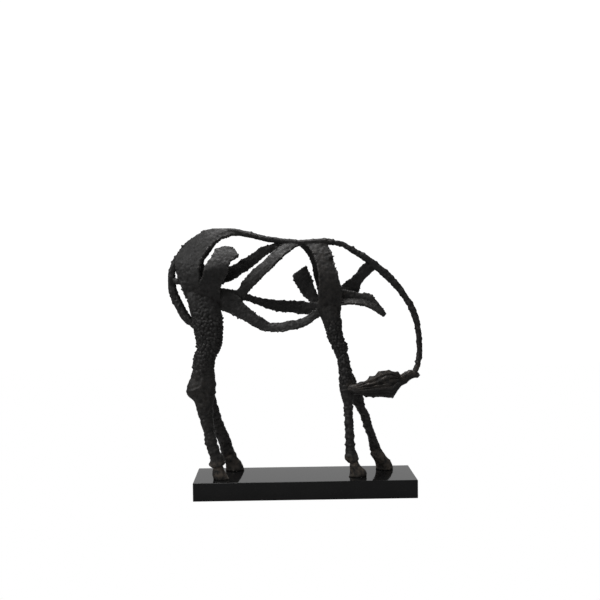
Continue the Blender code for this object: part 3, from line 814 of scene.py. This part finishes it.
def single_knobs() -> tuple[Knob, ...]:
    """List the knobs that show in the outline, and the lumps of the head and legs.

    Returns:
        The knobs, a negative height being a dimple.
    """
    tail_and_back = (
        Knob((-51.2, -0.3, 88.5)), Knob((-49.1, 0.0, 91.3)), Knob((-46.1, 0.0, 95.0)),
        Knob((-39.6, 0.0, 98.8), 1.2), Knob((-35.8, 0.0, 99.4), 1.1), Knob((-30.2, 0.0, 99.2)),
        Knob((-20.8, 0.0, 97.9)), Knob((-53.9, 0.0, 78.9), 1.2), Knob((-52.4, 0.0, 70.0)),
        Knob((-46.7, -1.0, 66.8)),
    )
    lobe = (
        Knob((-34.9, 0.4, 91.9)), Knob((-32.4, 0.4, 92.6)), Knob((-30.0, -0.1, 92.7), 1.1),
        Knob((-28.0, -1.0, 91.8)), Knob((-25.7, -2.4, 89.4), 1.1),
    )
    barrel = (
        Knob((-16.8, 1.9, 92.0)), Knob((-24.9, 4.1, 87.1)), Knob((-20.7, -0.8, 72.5)),
        Knob((-7.7, 3.4, 70.4)), Knob((-2.1, 3.1, 65.2)), Knob((-27.9, -5.0, 65.4)),
        Knob((-16.8, -6.5, 63.8), 1.2),
    )
    hind_legs = (
        Knob((-42.6, -4.6, 52.8)), Knob((-43.0, -4.6, 50.4), 1.1), Knob((-43.6, -4.7, 47.7), 1.4),
        Knob((-44.1, -4.8, 44.5), 1.2), Knob((-45.0, -4.9, 41.2)), Knob((-35.1, -5.2, 38.0), 1.5),
        Knob((-35.5, -5.4, 34.6), 1.1), Knob((-27.9, 7.7, 7.3), 1.3),
    )
    forelegs = (
        Knob((15.1, -3.3, 59.7)), Knob((17.0, -3.8, 53.1), 1.1), Knob((9.3, -3.5, 55.8)),
        Knob((11.2, -3.8, 51.2)), Knob((12.7, -4.1, 47.9)), Knob((26.9, 5.3, 22.9), 1.5),
        Knob((24.7, 5.6, 17.9), 1.3), Knob((27.6, 6.2, 6.2), 1.3),
    )
    neck = (
        Knob((12.3, 0.0, 94.8)), Knob((20.3, 0.0, 91.8)), Knob((24.4, 0.0, 89.2), 1.1),
        Knob((29.8, 0.0, 85.6), 1.4), Knob((43.6, 0.0, 69.2)), Knob((46.7, 0.0, 63.8), 1.1),
        Knob((48.0, 0.0, 54.6)), Knob((47.9, 0.0, 46.7)), Knob((45.7, 0.0, 45.3)),
    )
    head = (
        Knob((34.2, -2.8, 41.6)), Knob((42.7, -0.4, 41.3), 1.3), Knob((46.2, 0.0, 39.6), 1.1),
        Knob((35.5, -3.0, 31.3), 1.1), Knob((27.4, -5.6, 32.2), 1.2), Knob((24.5, -6.1, 32.5), 1.1),
        Knob((22.5, -6.8, 37.2)), Knob((26.4, -5.8, 39.5)), Knob((30.1, -4.6, 41.1), 1.3),
        Knob((34.0, -3.3, 41.9), 1.5), Knob((37.6, -1.9, 40.8), 1.3),
        Knob((39.3, -1.3, 39.9), 1.4, -1.0), Knob((41.3, -0.7, 40.7), 1.2),
    )
    feet_and_muzzle = (
        Knob((-37.8, -6.1, 5.9), 1.4), Knob((-32.6, -6.1, 6.4), 1.2),
        Knob((-33.8, -8.4, 3.4), 1.3, 0.7), Knob((-39.8, -7.9, 27.6), 2.0, 0.7),
        Knob((-39.3, -7.9, 21.4), 1.5, 0.8), Knob((-41.0, -8.0, 31.2), 1.6, -0.6),
        Knob((16.2, -4.8, 10.8), 1.2), Knob((20.9, -4.8, 9.6), 1.2), Knob((18.4, -7.0, 36.0), 1.2, 0.9),
    )
    return tail_and_back + lobe + barrel + hind_legs + forelegs + neck + head + feet_and_muzzle


@dataclass(frozen=True)
class HeadFolds:
    """Folds of clay that run along the head and draw together at the poll and the muzzle.

    Each profile row is x, the forehead's z and the jaw's z, in hundredths of the horse's height. Bends and
    lumps are given as their length, their depth and how many fit between the jaw and the forehead. Upper
    folds start at the lower level of upper_range and are full at its higher one. Boldness is the share of
    the height that the folds have by the jaw and above.
    """

    profile: tuple[Place, ...] = (
        (14.8, 35.6, 34.4), (18.9, 36.6, 33.8), (22.4, 37.3, 33.3), (25.1, 38.6, 32.5), (28.5, 40.2, 32.4),
        (32.0, 41.3, 32.0), (35.0, 41.6, 31.6), (37.3, 40.6, 34.5), (38.8, 39.7, 36.0), (41.3, 40.6, 37.1),
        (43.4, 41.3, 38.7), (46.2, 40.2, 39.4),
    )
    crests: float = 5.6
    first_crest: float = 0.15
    sharpness: float = 1.7
    middle: float = 0.4
    height: float = 0.0019
    bends: Place = (0.030, 0.020, 2.2)
    wander: float = 0.5
    upper_range: tuple[float, float] = (0.35, 0.75)
    upper_wander: float = 0.9
    lumps: Place = (0.0085, 0.010, 4.5)
    upper_lump: float = 0.0016
    boldness: tuple[float, float] = (0.75, 1.25)
    least_depth: float = 1.0
    full_depth: float = 6.0

    def levels(self, points: np.ndarray, ground: float) -> tuple[np.ndarray, np.ndarray]:
        """Find how high points lie on the head.

        Args:
            points: Rows of x, y and z in metres.
            ground: The level of the soles.

        Returns:
            The height from 0 at the jaw to 1 at the forehead, and the head's depth there in hundredths.
        """
        x = points[:, 0] * 100.0 / HORSE_HEIGHT
        z = (points[:, 2] - ground) * 100.0 / HORSE_HEIGHT
        rows = np.array(self.profile)
        top, jaw = (np.interp(x, rows[:, 0], rows[:, column]) for column in (1, 2))
        return np.clip((z - jaw) / (top - jaw), 0.0, 1.0), top - jaw

    def heights(self, points: np.ndarray, ground: float) -> np.ndarray:
        """Height of the folds at points on the head, fine and straight by the jaw, bold and wild above.

        Args:
            points: Rows of x, y and z in metres.
            ground: The level of the soles.

        Returns:
            How far each point moves out, in metres.
        """
        level, depth = self.levels(points, ground)
        upper = smooth_step(level, *self.upper_range)
        bends, lumps = (
            np.array([
                noise.noise(Vector((x / along, y / across, share * turns)))
                for (x, y, _), share in zip(points, level)
            ])
            for along, across, turns in (self.bends, self.lumps)
        )
        wander = (self.wander + self.upper_wander * upper) * bends
        phase = (level * self.crests + wander + self.first_crest) % 1.0
        crest = (1.0 - np.abs(2.0 * phase - 1.0)) ** self.sharpness
        boldness = self.boldness[0] + (self.boldness[1] - self.boldness[0]) * upper
        folds = self.height * boldness * (crest - self.middle) + self.upper_lump * upper * lumps
        return smooth_step(depth, self.least_depth, self.full_depth) * folds


@dataclass
class HorseCasting:
    """The horse, one casting: the solid's form, its edges softened and its surface worked like clay.

    Lengths are in metres. Each range is where a value starts to count and where it counts in full: how far a
    point stands out for an edge, for rubbing with a painted highlight on crests and for dirt with painted
    shade in hollows, how high it is on the head for brownness, how strong the random value is for a spur, and
    how squarely the surface faces the near side for a bead. The jaw values add painted shade towards the jaw.
    """

    voxel: float = 0.00085
    most_faces: int = 196000
    swell: float = 0.0001
    falloff: float = 3.0
    least_share: float = 0.04
    edge_range: tuple[float, float] = (0.03, 0.10)
    wear_and_highlight_range: tuple[float, float] = (0.03, 0.16)
    hollow_range: tuple[float, float] = (0.015, 0.10)
    warm_range: tuple[float, float] = (0.25, 0.7)
    nick: float = 0.0052
    nick_share: float = 1.3
    spur: float = 0.0034
    spur_share: float = 1.8
    spur_range: tuple[float, float] = (0.30, 0.60)
    facing_range: tuple[float, float] = (0.1, 0.5)
    bead_nicks: float = 0.6
    knob_gap: float = 0.0066
    knob_width: float = 0.24
    knob_turn: float = 7.3
    single_knob_height: float = 0.0018
    single_knob_width: float = 0.0022
    head_warmth: float = 0.40
    jaw_shade: float = 0.35
    jaw_top: float = 0.45
    jaw_fade: float = 0.35
    sole: float = 0.0011
    seat_lift: float = 0.00005
    ground: float = field(init=False)
    seat: float = field(init=False)
    members: list[Member] = field(default_factory=horse_members)
    single_knobs: tuple[Knob, ...] = field(default_factory=single_knobs)
    rings: tuple[Ring, ...] = field(default_factory=leg_rings)
    head_folds: HeadFolds = HeadFolds()
    beads: tuple[Bead, ...] = (
        Bead(((3.6, 89.6), (8.0, 89.2), (12.0, 89.9)), 0.0012, 0.0005),
        Bead(((-47.5, 78.3), (-43.0, 77.6), (-39.5, 78.0)), 0.0012, 0.0004),
        Bead(((-46.2, 35.2), (-43.2, 36.0), (-41.0, 36.5)), 0.0021, 0.0021),
        Bead(((-41.0, 36.5), (-39.0, 35.4), (-37.6, 33.2)), 0.0018, 0.0013),
        Bead(((-41.0, 36.5), (-40.2, 40.5), (-40.6, 45.0)), 0.0026, 0.0008),
        Bead(((-43.9, 33.6), (-41.4, 33.4)), 0.0036, -0.0015),
        Bead(((14.4, 34.5), (18.0, 35.4), (23.0, 33.6)), 0.0014, 0.0011),
    )
    finish: IronFinish = IronFinish()

    def rough_body(self, node: bpy.types.Object) -> bpy.types.Object:
        """Copy the solid, merge it and recast it in even quads.

        Args:
            node: The horse's CAD node.

        Returns:
            The new body.
        """
        body = bpy.data.objects.new("horse_casting", node.data.copy())
        bpy.context.scene.collection.objects.link(body)
        only_active(body)
        bpy.ops.object.mode_set(mode="EDIT")
        bpy.ops.mesh.select_all(action="SELECT")
        bpy.ops.mesh.remove_doubles(threshold=1e-5)
        bpy.ops.object.mode_set(mode="OBJECT")
        apply_modifier(body, "REMESH", mode="VOXEL", voxel_size=self.voxel, adaptivity=0.0)
        return body

    def shares(self, points: np.ndarray) -> tuple[np.ndarray, list[np.ndarray]]:
        """How much each point belongs to each member.

        Args:
            points: Rows of x, y and z in metres.

        Returns:
            One row for each member, and for each member the points' places along it.
        """
        weights, places = [], []
        for member in self.members:
            distance, rows = member.measure(points, self.ground)
            reach = member.reach * HORSE_HEIGHT / 100.0
            weights.append(np.exp(-self.falloff * (distance / reach) ** 2) + 1e-12)
            places.append(rows)
        total = np.stack(weights)
        return total / total.sum(axis=0), places

    def heights(self, points: np.ndarray, shares: np.ndarray, places: list[np.ndarray]) -> np.ndarray:
        """Relief of the whole surface.

        Args:
            points: Rows of x, y and z in metres.
            shares: How much each point belongs to each member.
            places: The points' places along each member.

        Returns:
            How far each point moves out.
        """
        total = np.zeros(shares.shape[1])
        for number, member in enumerate(self.members):
            touched = np.flatnonzero(shares[number] > self.least_share)
            relief = RELIEFS[member.surface]
            shift = Vector((3.7 * number, 1.3 * number, 0.0))
            rows = zip(places[number][touched], points[touched])
            worked = [self.worked(relief, row, point, shift) for row, point in rows]
            total[touched] += shares[number][touched] * np.array(worked)
            log.debug("%s: %d points", member.name, len(touched))
        return total

    def worked(self, relief: Relief, row: np.ndarray, point: np.ndarray, shift: Vector) -> float:
        """Relief at one place.

        Args:
            relief: The kind of surface.
            row: Length along the member, offset sideways and offset in depth.
            point: The place itself, in metres.
            shift: Moves the pattern, so that no two members match.

        Returns:
            The height in metres.
        """
        run, side, deep = row
        streak = Vector((run / relief.run, side / relief.gap, deep / relief.gap)) + shift
        broad = Vector((run, side, deep)) / relief.dent + shift
        height = relief.grain * noise.noise(streak) + relief.dent_height * noise.noise(broad)
        if relief.lump_height:
            width = relief.lump_width
            cell = Vector((run / relief.lump, side / width, deep / width)) + shift
            if relief.free:
                cell = Vector(point) / relief.lump
            near = noise.voronoi(cell)[0][0]
            height += relief.lump_height * (relief.lump_level - min(1.0, near / relief.lump_reach) ** 2)
        return height

    def knobs(self, points: np.ndarray) -> np.ndarray:
        """Sparse knobs of clay of every size up to 1.

        Args:
            points: Rows of x, y and z in metres.

        Returns:
            The knobs' height at each point, from 0 to 1.
        """
        heights = np.empty(len(points))
        for number, point in enumerate(points):
            distances, centres = noise.voronoi(Vector(point) / self.knob_gap)
            size = 0.5 + 0.5 * noise.cell(centres[0] * self.knob_turn)
            heights[number] = size * math.exp(-((distances[0] / self.knob_width) ** 2))
        return heights

    def blend(self, shares: np.ndarray, name: str) -> np.ndarray:
        """A value of the surfaces' relief, blended at each point."""
        return np.array([getattr(RELIEFS[member.surface], name) for member in self.members]) @ shares

    def raise_single_knobs(self, points: np.ndarray, out: np.ndarray) -> None:
        """Add the knobs that have a place of their own, and the rings round the legs.

        Args:
            points: Rows of x, y and z in metres.
            out: How far each point moves out, which is added to.
        """
        for stud in self.single_knobs:
            far = np.linalg.norm(points - np.array(on_horse(stud.place, self.ground)), axis=1)
            width = stud.size * self.single_knob_width
            out += stud.height * self.single_knob_height * np.exp(-((far / width) ** 2))
        for ring in self.rings:
            out += ring.heights(points, self.ground)

    def raise_beads(self, skin: Skin, nicks: np.ndarray, out: np.ndarray) -> None:
        """Add the beads where the surface faces the near side.

        Args:
            skin: The casting's points.
            nicks: A random value at each point, which makes the beads uneven.
            out: How far each point moves out, which is added to.
        """
        facing = smooth_step(-skin.normals()[:, 1], *self.facing_range) * (skin.points[:, 1] < 0.0)
        flat = skin.points * (1.0, 0.0, 1.0)
        for bead in self.beads:
            out += bead.heights(flat, self.ground, facing) * (1.0 + self.bead_nicks * nicks)

    def carve(self, body: bpy.types.Object) -> None:
        """Soften the facets, then raise the relief, the knobs, the ragged edges and the beads.

        Args:
            body: The recast body.
        """
        skin = Skin(body.data)
        shares, places = self.shares(skin.points)
        skin.soften(self.blend(shares, "softening"))
        edge = smooth_step(skin.bulge(3), *self.edge_range)
        swell = np.array([member.swell for member in self.members]) @ shares
        out = self.swell + swell + self.heights(skin.points, shares, places)
        knob, edge_knob = self.blend(shares, "knob"), self.blend(shares, "edge_knob")
        out += self.knobs(skin.points) * (knob + edge * (edge_knob - knob))
        self.raise_single_knobs(skin.points, out)
        head = self.head_share(shares)
        folded = np.flatnonzero(head > self.least_share)
        out[folded] += head[folded] * self.head_folds.heights(skin.points[folded], self.ground)
        nicks = np.array([noise.noise(Vector(p) / self.nick) for p in skin.points])
        spurs = np.array([noise.noise(Vector(p) / self.spur + Vector((9.0, 0.0, 0.0))) for p in skin.points])
        torn = self.nick_share * nicks + self.spur_share * smooth_step(spurs, *self.spur_range)
        out += self.blend(shares, "ragged") * edge * torn
        self.raise_beads(skin, nicks, out)
        skin.points += skin.normals() * out[:, None]
        skin.store()

    def head_share(self, shares: np.ndarray) -> np.ndarray:
        """How much each point belongs to the head."""
        return shares[[member.surface is Surface.HEAD for member in self.members]].sum(axis=0)

    def seat_hooves(self, skin: Skin) -> None:
        """Flatten the soles onto the stone.

        Args:
            skin: The casting's points.
        """
        low = skin.points[:, 2] < self.ground + self.sole
        skin.points[low, 2] = self.seat

    def dress(self, body: bpy.types.Object, low: Vector, high: Vector) -> None:
        """Thin the mesh out, keep it in the solid's box, seat it, and mark the crests for rubbing with a
        painted highlight, the hollows and the jaw for dirt with painted shade, and the brownness, which on
        the near shoulder and near hock is painted light.

        Args:
            body: The carved casting.
            low: Lowest corner of the solid.
            high: Highest corner of the solid.
        """
        triangles = 2 * len(body.data.polygons)
        if triangles > self.most_faces:
            apply_modifier(body, "DECIMATE", ratio=self.most_faces / triangles)
        skin = Skin(body.data)
        skin.points = np.clip(skin.points, np.array(low), np.array(high))
        self.seat_hooves(skin)
        skin.store()
        bulge = skin.bulge(2)
        shares, _ = self.shares(skin.points)
        # Brown share of each member: real on the head and hooves, painted light on the near shoulder and near
        # hock.
        brown_and_painted_light = np.array([max(0.0, RELIEFS[m.surface].brown_and_painted_light + m.brown_and_painted_light) for m in self.members]) @ shares
        level, _ = self.head_folds.levels(skin.points, self.ground)
        head = self.head_share(shares)
        brown_and_painted_light += self.head_warmth * head * smooth_step(level, *self.warm_range)
        # Painted shade under the jaw, added to the darkening of the hollows.
        under_jaw = self.jaw_shade * head * smooth_step(self.jaw_top - level, 0.0, self.jaw_fade)
        # Crests, for rubbing and a painted highlight.
        skin.mark("wear_and_highlight", smooth_step(bulge, *self.wear_and_highlight_range))
        # Hollows and jaw, darkened: partly dirt, partly painted shade.
        skin.mark("dust_and_shade", np.clip(smooth_step(-bulge, *self.hollow_range) + under_jaw, 0.0, 1.0))
        skin.mark("brown_and_painted_light", brown_and_painted_light)
        body.data.materials.clear()
        body.data.materials.append(self.finish.make())
        only_active(body)
        bpy.ops.object.shade_smooth()

    def build(self, frame: dict) -> bpy.types.Object:
        """Make the casting in place of the horse's node.


        Returns:
            The finished piece.
        """
        low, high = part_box("horse")
        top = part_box("plinth")[1].z
        self.ground = top + REST_GAP
        self.seat = top + self.seat_lift
        body = self.rough_body(frame["nodes"]["horse"])
        self.carve(body)
        self.dress(body, low, high)
        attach(body, "root")
        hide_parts("horse")
        log.info("%s: %d faces", body.name, len(body.data.polygons))
        return body


@dataclass
class StonePlinth:
    """The slab: five polished faces, broken edges and a sawn underside."""

    broken_edge: float = 0.0012
    edge_steps: int = 4
    polished: StoneFinish = StoneFinish("polished black stone", 0.035, 0.10)
    sawn: StoneFinish = StoneFinish("sawn black stone", 0.50, 0.60)

    def build(self) -> bpy.types.Object:
        """Make the slab in place of the plinth's node.

        Returns:
            The finished piece.
        """
        low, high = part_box("plinth")
        bpy.ops.object.select_all(action="DESELECT")
        bpy.ops.mesh.primitive_cube_add(size=1.0, location=(low + high) / 2.0)
        slab = bpy.context.object
        slab.name = "stone_plinth"
        bpy.ops.object.mode_set(mode="EDIT")
        bpy.ops.transform.resize(value=high - low)
        bpy.ops.mesh.bevel(offset=self.broken_edge, segments=self.edge_steps, profile=0.5, affect="EDGES")
        bpy.ops.object.mode_set(mode="OBJECT")
        bpy.ops.object.transform_apply(location=True, rotation=True, scale=True)
        slab.data.materials.append(self.polished.make())
        slab.data.materials.append(self.sawn.make())
        for face in slab.data.polygons:
            face.material_index = int(face.normal.z < -0.9)
        bpy.ops.object.shade_smooth()
        apply_modifier(slab, "WEIGHTED_NORMAL", weight=100)
        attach(slab, "root")
        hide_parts("plinth")
        log.info("%s: %d faces", slab.name, len(slab.data.polygons))
        return slab


@dataclass(frozen=True)
class SoftLight:
    """A square softbox aimed at a place."""

    name: str
    place: Place
    aim: Place
    side: float
    watts: float

    def build(self) -> bpy.types.Object:
        """Hang the light.

        Returns:
            The light's object.
        """
        lamp = bpy.data.lights.new(self.name, "AREA")
        lamp.size = self.side
        lamp.energy = self.watts
        item = bpy.data.objects.new(self.name, lamp)
        item.location = self.place
        item.rotation_euler = (Vector(self.aim) - Vector(self.place)).to_track_quat("-Z", "Y").to_euler()
        item.visible_camera = False
        bpy.context.scene.collection.objects.link(item)
        return item


@dataclass
class Studio:
    """White floor and surroundings, softboxes and the camera at the photograph's place."""

    floor_size: float = 3.6
    floor_drop: float = 0.0005
    floor_greys: tuple[float, float] = (0.35, 0.37)
    white: float = 1.05
    camera_place: Place = (-0.03946, -1.32603, 0.37059)
    camera_turn: float = -1.466
    camera_dip: float = 2.077
    camera_roll: float = -0.497
    focal_pixels: float = 796.3
    image_pixels: float = 600.0
    sensor: float = 36.0
    surroundings: float = 0.19
    lights: tuple[SoftLight, ...] = (
        SoftLight("overhead_softbox", (-0.25, -0.10, 1.75), (0.0, 0.0, 0.25), 0.7, 18.5),
        SoftLight("left_softbox", (-1.6, -0.9, 1.3), (0.0, 0.0, 0.25), 0.5, 10.0),
        SoftLight("back_softbox", (0.0, 2.6, 0.9), (0.0, 0.0, 0.2), 2.6, 11.0),
    )

    def floor(self) -> None:
        """Lay the floor."""
        bpy.ops.object.select_all(action="DESELECT")
        bpy.ops.mesh.primitive_plane_add(size=self.floor_size, location=(0.0, 0.0, -self.floor_drop))
        ground = bpy.context.object
        ground.name = "studio_floor"
        w = Wiring("pale floor")
        speckle = w.span(w.noise(0.4, 2.0), 0.3, 0.7)
        greys = [(grey, grey, grey, 1.0) for grey in self.floor_greys]
        w.feed(w.shader.inputs["Base Color"], w.mix(speckle, *greys))
        w.feed(w.shader.inputs["Roughness"], 0.9)
        seen = w.add("ShaderNodeEmission")
        pick = w.add("ShaderNodeMixShader")
        w.feed(pick.inputs[0], w.add("ShaderNodeLightPath").outputs["Is Camera Ray"])
        w.feed(pick.inputs[1], w.shader.outputs[0])
        w.feed(pick.inputs[2], seen.outputs[0])
        w.feed(w.tree.nodes["Material Output"].inputs["Surface"], pick.outputs[0])
        ground.data.materials.append(w.material)

    def world(self) -> None:
        """Surround the scene with white for the camera and a dimmer light for everything else."""
        world = bpy.data.worlds.new("white surroundings")
        world.use_nodes = True
        nodes, links = world.node_tree.nodes, world.node_tree.links
        seen = nodes["Background"]
        seen.inputs["Color"].default_value = (1.0, 1.0, 1.0, 1.0)
        seen.inputs["Strength"].default_value = self.white
        dim = nodes.new("ShaderNodeBackground")
        dim.inputs["Color"].default_value = (1.0, 1.0, 1.0, 1.0)
        dim.inputs["Strength"].default_value = self.surroundings
        pick = nodes.new("ShaderNodeMixShader")
        rays = nodes.new("ShaderNodeLightPath")
        links.new(rays.outputs["Is Camera Ray"], pick.inputs[0])
        links.new(dim.outputs[0], pick.inputs[1])
        links.new(seen.outputs[0], pick.inputs[2])
        links.new(pick.outputs[0], nodes["World Output"].inputs["Surface"])
        bpy.context.scene.world = world

    def camera(self) -> None:
        """Set the camera where the photograph was taken."""
        lens = bpy.data.cameras.new("camera")
        lens.sensor_width = self.sensor
        lens.lens = self.focal_pixels / self.image_pixels * self.sensor
        lens.clip_start = 0.05
        lens.clip_end = 50.0
        eye = bpy.data.objects.new("camera", lens)
        turn = Matrix.Rotation(math.radians(self.camera_turn), 4, "Z")
        tilt = Matrix.Rotation(math.radians(90.0 - self.camera_dip), 4, "X")
        roll = Matrix.Rotation(math.radians(self.camera_roll), 4, "Z")
        eye.matrix_world = Matrix.Translation(self.camera_place) @ turn @ tilt @ roll
        bpy.context.scene.collection.objects.link(eye)
        bpy.context.scene.camera = eye

    def build(self) -> None:
        """Set the studio up."""
        self.floor()
        self.world()
        for light in self.lights:
            light.build()
        self.camera()
        bpy.context.scene.view_settings.view_transform = "Standard"


def main() -> None:
    """Build the statue's pieces and the studio."""
    logging.basicConfig(level=logging.INFO, format="%(name)s %(message)s", stream=sys.stdout)
    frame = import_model()
    HorseCasting().build(frame)
    StonePlinth().build()
    Studio().build()
    bpy.context.view_layer.update()


if __name__ == "__main__":
    main()
